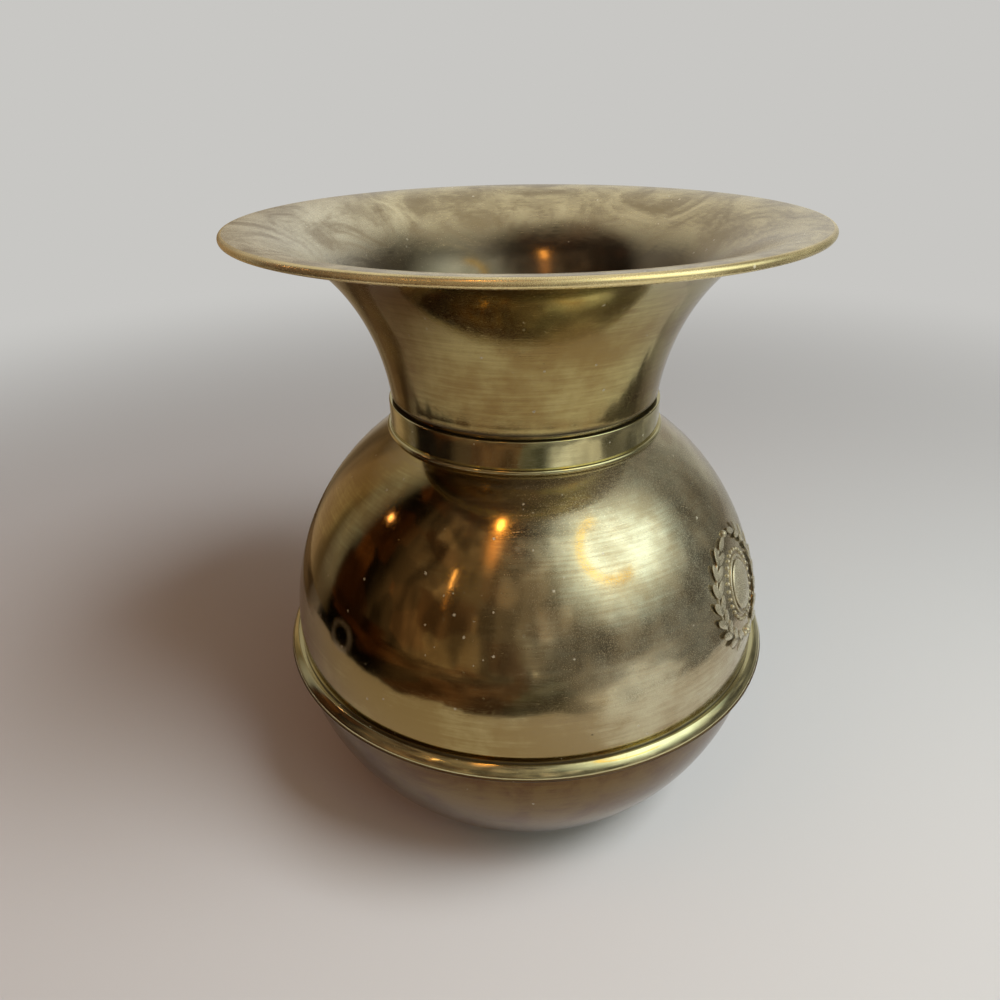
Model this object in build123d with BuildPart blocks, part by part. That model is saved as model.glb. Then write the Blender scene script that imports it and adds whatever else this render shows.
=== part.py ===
from build123d import *

import os
from math import asin, cos, degrees, sqrt

# Brass spittoon: a flared funnel that lifts out of a round bowl with a collared neck.
# Millimetres, +Z up, origin on the floor under the middle of the base.

# Driving dimensions: sheet metal and bowl
sheet = 0.8
base_flat_diameter = 114.4
base_corner_radius = 9.0
dome_diameter = 214.4
belly_step = 3.0
seam_drop = 10.0
skirt_depth = 5.0
neck_diameter = 109.2
neck_root_radius = 2.0
neck_stand_proud = 1.0

# Driving dimensions: hoop over the seam
hoop_width = 4.85
hoop_height = 4.6
hoop_edge_height = 0.9
hoop_face_radius = 9.0
hoop_groove_width = 1.65
hoop_groove_depth = 1.4
hoop_ridge_radius = 0.25
lip_reveal = 0.4

# Driving dimensions: collar
collar_stand_off = 3.2
collar_height = 12.2
collar_edge_radius = 0.6
collar_bead_radius = 1.2
collar_bead_reach = 0.4

# Driving dimensions: funnel
mouth_diameter = 228.6
funnel_height = 69.5
flare_root_drop = 11.0
shoulder_width = 3.1
shoulder_bend_radius = 0.3
spigot_depth = 14.0
rim_wire_diameter = 1.3
rim_roll_sweep = 250.0

# Driving dimensions: solder rings
collar_solder_height = 3.0
seam_solder_height = 4.6

# Clearances
spigot_clearance = 0.3
seat_gap = 0.3
solder_film = 0.05
wire_clearance = 0.2

# Places that several pieces share
dome_radius = dome_diameter / 2
lower_radius = dome_radius + belly_step
base_corner = Vector(base_flat_diameter / 2, base_corner_radius)
corner_reach = lower_radius - base_corner_radius
belly_centre = Vector(0, base_corner_radius + sqrt(corner_reach**2 - base_corner.X**2))
seam_height = belly_centre.Y - seam_drop
seam_top = seam_height + sheet
hoop_inner_radius = dome_radius + solder_film
hoop_outer_radius = hoop_inner_radius + hoop_width
neck_radius = neck_diameter / 2
neck_root_x = neck_radius + neck_root_radius
neck_root_rise = sqrt((dome_radius + neck_root_radius) ** 2 - neck_root_x**2)
neck_root_centre = belly_centre + Vector(neck_root_x, neck_root_rise)
collar_radius = neck_radius + collar_stand_off
collar_bead_x = collar_radius + collar_bead_reach
collar_bead_rise = sqrt((dome_radius + solder_film + collar_bead_radius) ** 2 - collar_bead_x**2)
collar_bead_centre = belly_centre + Vector(collar_bead_x, collar_bead_rise)
collar_top = collar_bead_centre.Y + collar_height
neck_top = collar_top + neck_stand_proud
shoulder_height = neck_top + seat_gap

# Lower bowl: flat base, round wall and a thin lip turned out at the seam
wall_foot = belly_centre + (base_corner - belly_centre).normalized() * lower_radius
wall_top = Vector(sqrt(lower_radius**2 - seam_drop**2), seam_height)

with BuildPart() as lower_bowl:
    with BuildSketch(Plane.XZ):
        with BuildLine():
            base = Line((0, 0), (base_corner.X, 0))
            corner = TangentArc(base @ 1, wall_foot, tangent=base % 1)
            wall = TangentArc(corner @ 1, wall_top, tangent=corner % 1)
            Line(wall @ 1, (hoop_outer_radius + lip_reveal, seam_height))
            offset(amount=sheet, side=Side.LEFT)
        make_face()
    revolve(axis=Axis.Z)

# Upper bowl: straight skirt that enters the lower bowl, round dome and upturned neck
dome_shoulder = belly_centre + (neck_root_centre - belly_centre).normalized() * dome_radius

with BuildPart() as upper_bowl:
    with BuildSketch(Plane.XZ):
        with BuildLine():
            skirt = Line((dome_radius, seam_height - skirt_depth), (dome_radius, belly_centre.Y))
            dome = TangentArc(skirt @ 1, dome_shoulder, tangent=skirt % 1)
            root = TangentArc(dome @ 1, (neck_radius, neck_root_centre.Y), tangent=dome % 1)
            Line(root @ 1, (neck_radius, neck_top))
            offset(amount=sheet, side=Side.LEFT)
        make_face()
    revolve(axis=Axis.Z)

# Belly hoop: a sloped, slightly rounded band that lies on the lip and hides the seam, with a groove next to the dome
hoop_ridge = (hoop_inner_radius + hoop_groove_width, seam_top + hoop_height)
hoop_shelf = hoop_ridge[1] - hoop_groove_depth

with BuildPart() as belly_hoop:
    with BuildSketch(Plane.XZ) as hoop_section:
        with BuildLine():
            under = Line((hoop_inner_radius, seam_top), (hoop_outer_radius, seam_top))
            edge = Line(under @ 1, (hoop_outer_radius, seam_top + hoop_edge_height))
            face = RadiusArc(edge @ 1, hoop_ridge, -hoop_face_radius)
            drop = Line(face @ 1, (hoop_ridge[0], hoop_shelf))
            shelf = Line(drop @ 1, (hoop_inner_radius, hoop_shelf))
            Line(shelf @ 1, under @ 0)
        make_face()
        fillet(hoop_section.vertices().sort_by_distance(hoop_ridge)[0], hoop_ridge_radius)
    revolve(axis=Axis.Z)

# Seam solder: fills the space between the dome's skirt and the lower bowl, under the hoop
seam_solder_radius = lower_radius - sheet - solder_film

with BuildPart() as seam_solder:
    with BuildSketch(Plane.XZ):
        with Locations((hoop_inner_radius, seam_height)):
            Rectangle(
                seam_solder_radius - hoop_inner_radius,
                seam_solder_height,
                align=(Align.MIN, Align.MAX),
            )
        with Locations(belly_centre):
            Circle(seam_solder_radius, mode=Mode.INTERSECT)
    revolve(axis=Axis.Z)

# Neck collar: a band with its top edge turned in to the neck and a bead at its foot
with BuildPart() as neck_collar:
    with BuildSketch(Plane.XZ):
        with BuildLine():
            FilletPolyline(
                (collar_radius, collar_bead_centre.Y),
                (collar_radius, collar_top),
                (neck_radius + solder_film, collar_top),
                radius=collar_edge_radius,
            )
            offset(amount=sheet, side=Side.LEFT)
        make_face()
        with Locations(collar_bead_centre):
            Circle(collar_bead_radius)
    revolve(axis=Axis.Z)

# Collar solder: the ring between the neck and the collar that holds them together
with BuildPart() as collar_solder:
    with BuildSketch(Plane.XZ):
        with Locations((neck_radius + solder_film, neck_root_centre.Y)):
            Rectangle(
                collar_stand_off - sheet - 2 * solder_film,
                collar_solder_height,
                align=(Align.MIN, Align.MIN),
            )
    revolve(axis=Axis.Z)

# Mouth funnel: spigot, shoulder that sits over the neck, elliptical flare and a rolled edge
roll_inner_radius = rim_wire_diameter / 2 + wire_clearance
roll_outer_radius = roll_inner_radius + sheet
rim_radius = mouth_diameter / 2 - roll_outer_radius
rim_top = shoulder_height + funnel_height
roll_centre = (rim_radius, rim_top - roll_outer_radius)
spigot_radius = neck_radius - sheet - spigot_clearance
spigot_tip = shoulder_height - spigot_depth
flare_foot_radius = spigot_radius + shoulder_width
flare_root = shoulder_height - flare_root_drop
flare_rise = rim_top - sheet - flare_root
outer_start = asin(flare_root_drop / flare_rise)
inner_start = asin((flare_root_drop + sheet) / (flare_rise + sheet))
flare_spread = (rim_radius - flare_foot_radius) / cos(outer_start)

with BuildPart() as mouth_funnel:
    with BuildSketch(Plane.XZ) as funnel_wall:
        with BuildLine():
            outer_flare = EllipticalCenterArc(
                (rim_radius, flare_root),
                flare_spread,
                flare_rise,
                start_angle=90,
                arc_size=90 - degrees(outer_start),
            )
            inner_flare = EllipticalCenterArc(
                (rim_radius, flare_root),
                flare_spread + sheet,
                flare_rise + sheet,
                start_angle=90,
                arc_size=90 - degrees(inner_start),
            )
            outer_step = Polyline(
                outer_flare @ 1,
                (spigot_radius, shoulder_height),
                (spigot_radius, spigot_tip),
            )
            inner_step = Polyline(
                inner_flare @ 1,
                (spigot_radius - sheet, shoulder_height + sheet),
                (spigot_radius - sheet, spigot_tip),
            )
            Line(outer_flare @ 0, inner_flare @ 0)
            Line(outer_step @ 1, inner_step @ 1)
        make_face()
        for corner, bend in (
            (outer_step @ 0, shoulder_bend_radius + sheet),
            (inner_step @ 0, shoulder_bend_radius),
            ((spigot_radius, shoulder_height), shoulder_bend_radius),
            ((spigot_radius - sheet, shoulder_height + sheet), shoulder_bend_radius + sheet),
        ):
            fillet(funnel_wall.vertices().sort_by_distance(corner)[0], bend)
        with BuildLine():
            roll_inside = CenterArc(roll_centre, roll_inner_radius, 90, -rim_roll_sweep)
            roll_outside = CenterArc(roll_centre, roll_outer_radius, 90, -rim_roll_sweep)
            Line(roll_inside @ 0, roll_outside @ 0)
            Line(roll_inside @ 1, roll_outside @ 1)
        make_face()
    revolve(axis=Axis.Z)

# Rim wire: keeps the mouth round from inside the rolled edge
with BuildPart() as rim_wire:
    with BuildSketch(Plane.XZ):
        with Locations(roll_centre):
            Circle(rim_wire_diameter / 2)
    revolve(axis=Axis.Z)

# Names and files
pieces = {
    "mouth_funnel": mouth_funnel,
    "rim_wire": rim_wire,
    "neck_collar": neck_collar,
    "collar_solder": collar_solder,
    "upper_bowl": upper_bowl,
    "belly_hoop": belly_hoop,
    "seam_solder": seam_solder,
    "lower_bowl": lower_bowl,
}
os.makedirs("parts", exist_ok=True)
for name, piece in pieces.items():
    piece.part.label = name
    export_step(piece.part, f"parts/{name}.step")

print(f"height {rim_top:.2f}, belly centre {belly_centre.Y:.2f}, seam {seam_height:.2f}")
print(f"lip {2 * (hoop_outer_radius + lip_reveal):.2f} across, collar {2 * collar_radius:.2f} across")
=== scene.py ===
# %% [markdown]
# # A brass spittoon, spun from thin sheet
# The real spittoon is five pieces of spun brass: a lower bowl, an upper bowl with a short neck, a raised
# hoop over the seam between them, a polished collar round the neck and a wide funnel that sits loosely in
# it. Every one of them came off a lathe, so each can be made here in the same way, as an outline that is
# spun round the upright axis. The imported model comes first. It fixes the frame and the sizes, and the new
# pieces are fitted to it.

import math

import bpy
from mathutils import Matrix, Vector


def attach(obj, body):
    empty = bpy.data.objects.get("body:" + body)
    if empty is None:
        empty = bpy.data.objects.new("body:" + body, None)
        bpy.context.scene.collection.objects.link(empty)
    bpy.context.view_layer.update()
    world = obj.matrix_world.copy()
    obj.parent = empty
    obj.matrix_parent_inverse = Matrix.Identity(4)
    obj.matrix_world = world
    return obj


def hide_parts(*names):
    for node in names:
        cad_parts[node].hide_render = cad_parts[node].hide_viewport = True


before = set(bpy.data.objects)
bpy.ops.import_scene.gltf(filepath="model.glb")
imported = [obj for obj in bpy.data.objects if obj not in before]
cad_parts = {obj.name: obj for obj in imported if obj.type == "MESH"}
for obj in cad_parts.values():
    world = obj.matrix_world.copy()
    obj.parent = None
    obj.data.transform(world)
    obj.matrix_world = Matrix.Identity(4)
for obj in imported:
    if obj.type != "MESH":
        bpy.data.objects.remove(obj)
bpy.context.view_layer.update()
MM = 0.001
print("pieces in the packed model:", sorted(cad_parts))

# %% [markdown]
# ## Camera
# The camera stands a little in front of the mouth and looks down at the bowl. Its place and its angles were
# worked out from the ellipses that the mouth, the collar and the belly make in the photograph, which is
# 1000 pixels square. The lens follows from the focal length in pixels, because the sensor's width is the
# picture's width.

# %% Place the camera
CAMERA_PLACE = Vector((0.0, -319.9, 310.3)) * MM
LOOK_DOWN, LOOK_LEFT, TILT = (math.radians(angle) for angle in (27.73, 1.99, -0.95))
FOCAL_PIXELS, PICTURE_PIXELS, SENSOR_WIDTH = 780.0, 1000, 36.0

level = Matrix.Rotation(LOOK_LEFT, 3, "Z")
forward = level @ Vector((0, math.cos(LOOK_DOWN), -math.sin(LOOK_DOWN)))
rightward = Matrix.Rotation(TILT, 3, -forward) @ (level @ Vector((1, 0, 0)))
upward = rightward.cross(forward)

bpy.ops.object.select_all(action="DESELECT")
bpy.ops.object.camera_add()
camera = bpy.context.object
turned = Matrix((rightward, upward, -forward)).transposed().to_4x4()
camera.matrix_world = Matrix.Translation(CAMERA_PLACE) @ turned
camera.data.sensor_width = SENSOR_WIDTH
camera.data.lens = FOCAL_PIXELS * SENSOR_WIDTH / PICTURE_PIXELS
bpy.context.scene.camera = camera
print("lens in mm:", round(camera.data.lens, 2))

# %% [markdown]
# ## Spinning on the lathe
# A spinner presses a disc of sheet over a turning former. In Blender the same shape is one outline, drawn
# vertex by vertex with extrude and then spun through a full turn. The outline has both skins of the sheet
# in it, so that the walls have their real thickness. A list that ends where it began gives a closed ring,
# and one that ends on the axis gives a closed bowl: merging doubles joins both.

# %% Helpers for drawing outlines
SHEET = 0.8


def oval(centre, radii, start, end, count):
    """Points of an ellipse as (radius, height) in mm, from one angle in degrees to another."""
    angles = [math.radians(start + (end - start) * i / count) for i in range(count + 1)]
    return [(centre[0] + radii[0] * math.cos(a), centre[1] + radii[1] * math.sin(a)) for a in angles]


def arc(centre, radius, start, end, count):
    """The same for a circle."""
    return oval(centre, (radius, radius), start, end, count)


def bend(before, corner, after, radius, count=6):
    """The rounded bend that replaces a sharp corner between two straight stretches, in mm."""
    corner, before, after = Vector(corner), Vector(before), Vector(after)
    towards, onwards = (before - corner).normalized(), (after - corner).normalized()
    half = towards.angle(onwards) / 2
    middle = corner + (towards + onwards).normalized() * (radius / math.sin(half))
    first = corner + towards * (radius / math.tan(half)) - middle
    last = corner + onwards * (radius / math.tan(half)) - middle
    turn = first.angle_signed(last)
    return [tuple(middle + Matrix.Rotation(-turn * i / count, 2) @ first) for i in range(count + 1)]


# %% Helpers for spinning them
TURN_STEPS = 256
MERGED_WITHIN = 0.002 * MM
SHARP_ANGLE = math.radians(40)


def start_outline(name, place):
    """A new mesh in edit mode that is one selected vertex."""
    bpy.ops.object.select_all(action="DESELECT")
    bpy.ops.mesh.primitive_circle_add(vertices=3, radius=MM)
    piece = bpy.context.object
    piece.name = piece.data.name = name
    bpy.ops.object.mode_set(mode="EDIT")
    bpy.ops.mesh.select_all(action="SELECT")
    bpy.ops.mesh.merge(type="CENTER")
    bpy.ops.transform.translate(value=place)
    return piece


def spin_up(name, outline):
    """Draws an outline of (radius, height) points in mm and spins it round the upright axis."""
    points = [Vector((radius, 0, height)) * MM for radius, height in outline]
    piece = start_outline(name, points[0])
    for here, there in zip(points, points[1:]):
        bpy.ops.mesh.extrude_region_move(TRANSFORM_OT_translate={"value": there - here})
    bpy.ops.mesh.select_all(action="SELECT")
    bpy.ops.mesh.remove_doubles(threshold=MERGED_WITHIN)
    bpy.ops.mesh.spin(steps=TURN_STEPS, angle=2 * math.pi, center=(0, 0, 0), axis=(0, 0, 1))
    bpy.ops.mesh.select_all(action="SELECT")
    bpy.ops.mesh.remove_doubles(threshold=MERGED_WITHIN)
    bpy.ops.mesh.normals_make_consistent(inside=False)
    bpy.ops.object.mode_set(mode="OBJECT")
    bpy.ops.object.shade_smooth_by_angle(angle=SHARP_ANGLE)
    print(name, "has", len(piece.data.polygons), "faces")
    return piece


# %% [markdown]
# ## Lower bowl
# A flat base, a round wall and a thin lip that turns out under the hoop. The wall is part of a sphere that
# shares its centre with the upper bowl, 3 mm larger, so the two nest. The edge of the lip is rubbed round,
# as a thumb feels it on the real one.

# %% Spin the lower bowl
BELLY = (0.0, 92.484)
LOWER_RADIUS, DOME_RADIUS = 110.2, 107.2
BASE_CORNER, BASE_CORNER_RADIUS = (57.2, 9.0), 9.0
SEAM, LIP_RADIUS = 82.484, 112.5
BASE_RINGS = range(0, 56, 5)

foot_angle = math.degrees(math.atan2(BASE_CORNER[1] - BELLY[1], BASE_CORNER[0]))
seam_angle = math.degrees(math.asin((SEAM - BELLY[1]) / LOWER_RADIUS))
inner_radius = LOWER_RADIUS - SHEET
inner_seam_angle = math.degrees(math.asin((SEAM + SHEET - BELLY[1]) / inner_radius))
lip_middle = (LIP_RADIUS - SHEET / 2, SEAM + SHEET / 2)
lower_bowl = spin_up(
    "lower_bowl_spun",
    [(radius, 0.0) for radius in BASE_RINGS]
    + arc(BASE_CORNER, BASE_CORNER_RADIUS, -90, foot_angle, 12)
    + arc(BELLY, LOWER_RADIUS, foot_angle, seam_angle, 48)[1:]
    + arc(lip_middle, SHEET / 2, -90, 90, 8)
    + arc(BELLY, inner_radius, inner_seam_angle, foot_angle, 48)
    + arc(BASE_CORNER, BASE_CORNER_RADIUS - SHEET, foot_angle, -90, 12)[1:]
    + [(radius, SHEET) for radius in reversed(BASE_RINGS)],
)

# %% [markdown]
# ## Upper bowl
# A short straight skirt that enters the lower bowl, a round dome and a neck that turns up inside the
# collar. The dome is the largest mirror on the object, so its outline has a point about every 2 mm.

# %% Spin the upper bowl
SKIRT_FOOT, SKIRT_MIDDLE = 77.484, 86.0
NECK_RADIUS, NECK_ROOT, NECK_ROOT_RADIUS, NECK_TOP = 54.6, (56.6, 185.871), 2.0, 197.2

shoulder_angle = math.degrees(math.atan2(NECK_ROOT[1] - BELLY[1], NECK_ROOT[0]))
inner_dome = DOME_RADIUS - SHEET
upper_bowl = spin_up(
    "upper_bowl_spun",
    [(DOME_RADIUS, SKIRT_FOOT), (DOME_RADIUS, SKIRT_MIDDLE)]
    + arc(BELLY, DOME_RADIUS, 0, shoulder_angle, 60)
    + arc(NECK_ROOT, NECK_ROOT_RADIUS, shoulder_angle + 180, 180, 6)[1:]
    + arc((NECK_RADIUS - SHEET / 2, NECK_TOP - SHEET / 2), SHEET / 2, 0, 180, 8)
    + arc(NECK_ROOT, NECK_ROOT_RADIUS + SHEET, 180, shoulder_angle + 180, 6)
    + arc(BELLY, inner_dome, shoulder_angle, 0, 60)[1:]
    + [(inner_dome, SKIRT_FOOT), (DOME_RADIUS, SKIRT_FOOT)],
)

# %% [markdown]
# ## Belly hoop
# A solid ring that lies on the lip and hides the seam. Its face slopes up and inwards with a slight crown,
# and a groove behind its ridge draws the dark line between it and the dome. The crown is one arc through
# the edge and the ridge, so its middle is worked out from the chord between them.

# %% Spin the belly hoop
HOOP_INNER, HOOP_OUTER, HOOP_FOOT, HOOP_EDGE, HOOP_SHELF = 107.25, 112.1, 83.284, 84.184, 86.484
HOOP_RIDGE, HOOP_FACE, HOOP_BEND = (108.9, 87.884), 9.0, 0.25

edge_top, ridge = Vector((HOOP_OUTER, HOOP_EDGE)), Vector(HOOP_RIDGE)
chord = ridge - edge_top
inwards = Vector((-chord.y, chord.x)).normalized() * math.sqrt(HOOP_FACE**2 - chord.length_squared / 4)
face_middle = (edge_top + ridge) / 2 + inwards
face_angles = [math.degrees(math.atan2(*(point - face_middle).yx)) for point in (edge_top, ridge)]
face = arc(face_middle, HOOP_FACE, *face_angles, 16)
belly_hoop = spin_up(
    "belly_hoop_banded",
    [(HOOP_INNER, HOOP_FOOT)]
    + bend((HOOP_INNER, HOOP_FOOT), (HOOP_OUTER, HOOP_FOOT), (HOOP_OUTER, HOOP_EDGE), HOOP_BEND)
    + face[:-2]
    + bend(face[-2], face[-1], (HOOP_RIDGE[0], HOOP_SHELF), HOOP_BEND)
    + [(HOOP_RIDGE[0], HOOP_SHELF), (HOOP_INNER, HOOP_SHELF), (HOOP_INNER, HOOP_FOOT)],
)

# %% [markdown]
# ## Neck collar
# A band whose top edge turns in to the neck and whose foot ends in a small bead that sits on the dome. Its
# outline runs up the outside, over the bent edge, under it, down the inside and round the bead.

# %% Spin the neck collar
COLLAR_RADIUS, COLLAR_TOP, COLLAR_INNER, COLLAR_BEND = 57.8, 196.2, 54.65, 0.6
COLLAR_BEAD, COLLAR_BEAD_RADIUS, COLLAR_RINGS = (58.2, 184.004), 1.2, (187.0, 189.0, 191.0, 193.0)

bead_meets_band = math.degrees(math.acos((COLLAR_RADIUS - COLLAR_BEAD[0]) / COLLAR_BEAD_RADIUS))
bead_outline = arc(COLLAR_BEAD, COLLAR_BEAD_RADIUS, -180, bead_meets_band, 22)
top_edge, turned_in = (COLLAR_RADIUS, COLLAR_TOP), (COLLAR_INNER, COLLAR_TOP)
neck_collar = spin_up(
    "neck_collar_band",
    bead_outline
    + [(COLLAR_RADIUS, height) for height in COLLAR_RINGS]
    + bend(bead_outline[-1], top_edge, turned_in, COLLAR_BEND, 8)
    + [turned_in, (COLLAR_INNER, COLLAR_TOP - SHEET), (COLLAR_RADIUS - SHEET, COLLAR_TOP - SHEET)]
    + [bead_outline[0]],
)

# %% [markdown]
# ## Mouth funnel
# The piece that takes most skill at the lathe: a straight spigot that drops into the neck, a small shoulder
# that rests over it, a flare that runs out to flat like a trumpet's bell, and an edge that is rolled under
# round a wire. The flare is a quarter of an ellipse. Its outline goes up the outside, round the roll and
# back down the inside.

# %% Spin the mouth funnel
SHOULDER, SHOULDER_BEND, SPIGOT_TIP, SPIGOT_RADIUS = 197.5, 0.3, 183.5, 53.5
FLARE_MIDDLE, FLARE_OUT, FLARE_UP = (112.65, 186.5), 56.59, 79.69
ROLL_MIDDLE, ROLL_INSIDE, ROLL_END = (112.65, 265.34), 0.85, -160

roll_outside = ROLL_INSIDE + SHEET
outer_foot = 180 - math.degrees(math.asin((SHOULDER - FLARE_MIDDLE[1]) / FLARE_UP))
inner_foot = 180 - math.degrees(math.asin((SHOULDER + SHEET - FLARE_MIDDLE[1]) / (FLARE_UP + SHEET)))
outer_flare = oval(FLARE_MIDDLE, (FLARE_OUT, FLARE_UP), outer_foot, 90, 64)
inner_flare = oval(FLARE_MIDDLE, (FLARE_OUT + SHEET, FLARE_UP + SHEET), 90, inner_foot, 64)
spigot_inside = SPIGOT_RADIUS - SHEET
wide_bend = SHOULDER_BEND + SHEET
mouth_funnel = spin_up(
    "mouth_funnel_flared",
    [(SPIGOT_RADIUS, SPIGOT_TIP)]
    + bend((SPIGOT_RADIUS, SPIGOT_TIP), (SPIGOT_RADIUS, SHOULDER), outer_flare[0], SHOULDER_BEND)
    + bend((SPIGOT_RADIUS, SHOULDER), outer_flare[0], outer_flare[2], wide_bend)
    + outer_flare[2:]
    + arc(ROLL_MIDDLE, ROLL_INSIDE, 90, ROLL_END, 24)[1:]
    + arc(ROLL_MIDDLE, roll_outside, ROLL_END, 90, 32)
    + inner_flare[1:-2]
    + bend(inner_flare[-3], inner_flare[-1], (spigot_inside, SHOULDER + SHEET), SHOULDER_BEND)
    + bend(inner_flare[-1], (spigot_inside, SHOULDER + SHEET), (spigot_inside, SPIGOT_TIP), wide_bend)
    + [(spigot_inside, SPIGOT_TIP), (SPIGOT_RADIUS, SPIGOT_TIP)],
)

# %% [markdown]
# ## Wreath on the dome
# The real one has a raised ornament on its right side, struck into the sheet with a die. Here it is a plain
# laurel wreath round an oval boss, in low relief. One leaf is modelled and copied along the two sprays, and
# one pearl is copied round the boss. A ring on a sphere is flat, so the stem and the boss's border are
# plain rings. Each part is made flat at the origin, with +Z as its front, and then carried to its place on
# the dome.

# %% Model the patterns of the wreath
STEM_RADIUS, SUNK = 22.5, 0.4
LEAF_LENGTH, LEAF_WIDTH, LEAF_RISE, LEAF_EDGE = 8.8, 3.6, 0.9, 0.12
PEARL_RADIUS = 0.9

bpy.ops.object.select_all(action="DESELECT")
bpy.ops.mesh.primitive_circle_add(vertices=12, radius=MM, fill_type="NGON")
leaf = bpy.context.object
leaf.name = "leaf_pattern"
bpy.ops.object.mode_set(mode="EDIT")
bpy.ops.mesh.select_all(action="SELECT")
bpy.ops.transform.resize(value=(LEAF_WIDTH / 2, LEAF_LENGTH / 2, 1))
bpy.ops.mesh.poke(offset=0.0)
bpy.ops.object.mode_set(mode="OBJECT")
for vertex in leaf.data.vertices:
    vertex.select = vertex.co.length < 0.01 * MM
bpy.ops.object.mode_set(mode="EDIT")
bpy.ops.mesh.select_mode(type="VERT")
bpy.ops.transform.translate(value=(0, -0.1 * LEAF_LENGTH * MM, LEAF_RISE * MM))
bpy.ops.mesh.select_all(action="SELECT")
bpy.ops.mesh.extrude_region_move(TRANSFORM_OT_translate={"value": (0, 0, -SUNK * MM)})
bpy.ops.mesh.select_all(action="SELECT")
bpy.ops.mesh.normals_make_consistent(inside=False)
bpy.ops.transform.translate(value=(0, LEAF_LENGTH / 2 * MM, SUNK * MM / 2))
bpy.ops.object.mode_set(mode="OBJECT")
softened = leaf.modifiers.new("softened", "BEVEL")
softened.width, softened.segments, softened.limit_method = LEAF_EDGE * MM, 2, "ANGLE"
bpy.ops.object.modifier_apply(modifier="softened")

bpy.ops.object.select_all(action="DESELECT")
bpy.ops.mesh.primitive_uv_sphere_add(segments=12, ring_count=8, radius=PEARL_RADIUS * MM)
pearl = bpy.context.object
pearl.name = "pearl_pattern"
print("faces of a leaf and a pearl:", len(leaf.data.polygons), len(pearl.data.polygons))

# %% Helpers that carry a part to the dome
WREATH_AZIMUTH, WREATH_RISE = math.radians(62.5), math.radians(19)
to_wreath = (
    Matrix.Translation(Vector((0, 0, BELLY[1])) * MM)
    @ Matrix.Rotation(WREATH_AZIMUTH, 4, "Z")
    @ Matrix.Rotation(math.pi / 2 - WREATH_RISE, 4, "X")
)
wreath_parts = []


def on_dome(piece, across, up, turn=0.0, size=1.0):
    """Sets a piece so many mm across and up from the wreath's middle, turned by so many degrees."""
    piece.matrix_world = (
        to_wreath
        @ Matrix.Rotation(across / DOME_RADIUS, 4, "Y")
        @ Matrix.Rotation(-up / DOME_RADIUS, 4, "X")
        @ Matrix.Translation((0, 0, DOME_RADIUS * MM))
        @ Matrix.Rotation(math.radians(turn), 4, "Z")
        @ Matrix.Scale(size, 4)
    )
    wreath_parts.append(piece)


def copy_of(pattern):
    """A copy of a pattern with a mesh of its own."""
    piece = pattern.copy()
    piece.data = pattern.data.copy()
    bpy.context.collection.objects.link(piece)
    return piece


# %% Lay out the leaves, the pearls and the berries
LEAF_STATIONS, LEAF_SPREAD, LEAF_SHRINK = range(20, 157, 17), 30, 0.02
PEARLS, PEARL_OVAL = 28, (13.2, 15.0)
BERRIES = (
    # mm across and up from the wreath's middle, and size
    (0, -STEM_RADIUS, 2.2),
    (-2.6, -STEM_RADIUS, 1.6),
    (2.6, -STEM_RADIUS, 1.6),
    (0, STEM_RADIUS + 1, 1.8),
)
for step, station in enumerate(LEAF_STATIONS):
    from_foot = math.radians(station)
    spreads = (0,) if station == LEAF_STATIONS[-1] else (-LEAF_SPREAD, LEAF_SPREAD)
    for side in (-1, 1):
        for spread in spreads:
            on_dome(
                copy_of(leaf),
                side * STEM_RADIUS * math.sin(from_foot),
                -STEM_RADIUS * math.cos(from_foot),
                side * (station - 90 + spread),
                1 - LEAF_SHRINK * step,
            )
for step in range(PEARLS):
    around = 2 * math.pi * step / PEARLS
    on_dome(copy_of(pearl), PEARL_OVAL[0] * math.sin(around), PEARL_OVAL[1] * math.cos(around))
for across, up, size in BERRIES:
    on_dome(copy_of(pearl), across, up, 0, size)
print("leaves, pearls and berries:", len(wreath_parts))

# %% Add the stem, the border and the boss
RINGS = (
    # radius and half thickness in mm, and stretch
    (STEM_RADIUS, 0.55, (1, 1, 1)),
    (11.2, 0.6, (0.92, 1.1, 1)),
)
BOSS_HALF_SIZE, BOSS_SUNK = (8.8, 10.6, 1.5), 0.5
for ring_radius, thickness, stretch in RINGS:
    bpy.ops.object.select_all(action="DESELECT")
    bpy.ops.mesh.primitive_torus_add(
        major_segments=72, minor_segments=10, major_radius=ring_radius * MM, minor_radius=thickness * MM
    )
    ring = bpy.context.object
    sag = DOME_RADIUS - math.sqrt(DOME_RADIUS**2 - ring_radius**2)
    bpy.ops.object.mode_set(mode="EDIT")
    bpy.ops.mesh.select_all(action="SELECT")
    bpy.ops.transform.resize(value=stretch)
    bpy.ops.transform.translate(value=(0, 0, -sag * MM))
    bpy.ops.object.mode_set(mode="OBJECT")
    on_dome(ring, 0, 0)
bpy.ops.object.select_all(action="DESELECT")
bpy.ops.mesh.primitive_uv_sphere_add(segments=40, ring_count=20, radius=MM)
boss = bpy.context.object
bpy.ops.object.mode_set(mode="EDIT")
bpy.ops.mesh.select_all(action="SELECT")
bpy.ops.transform.resize(value=BOSS_HALF_SIZE)
bpy.ops.mesh.bisect(plane_co=(0, 0, -BOSS_SUNK * MM), plane_no=(0, 0, -1), clear_outer=True, use_fill=True)
bpy.ops.object.mode_set(mode="OBJECT")
on_dome(boss, 0, 0)
print("the boss has", len(boss.data.polygons), "faces")

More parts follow.
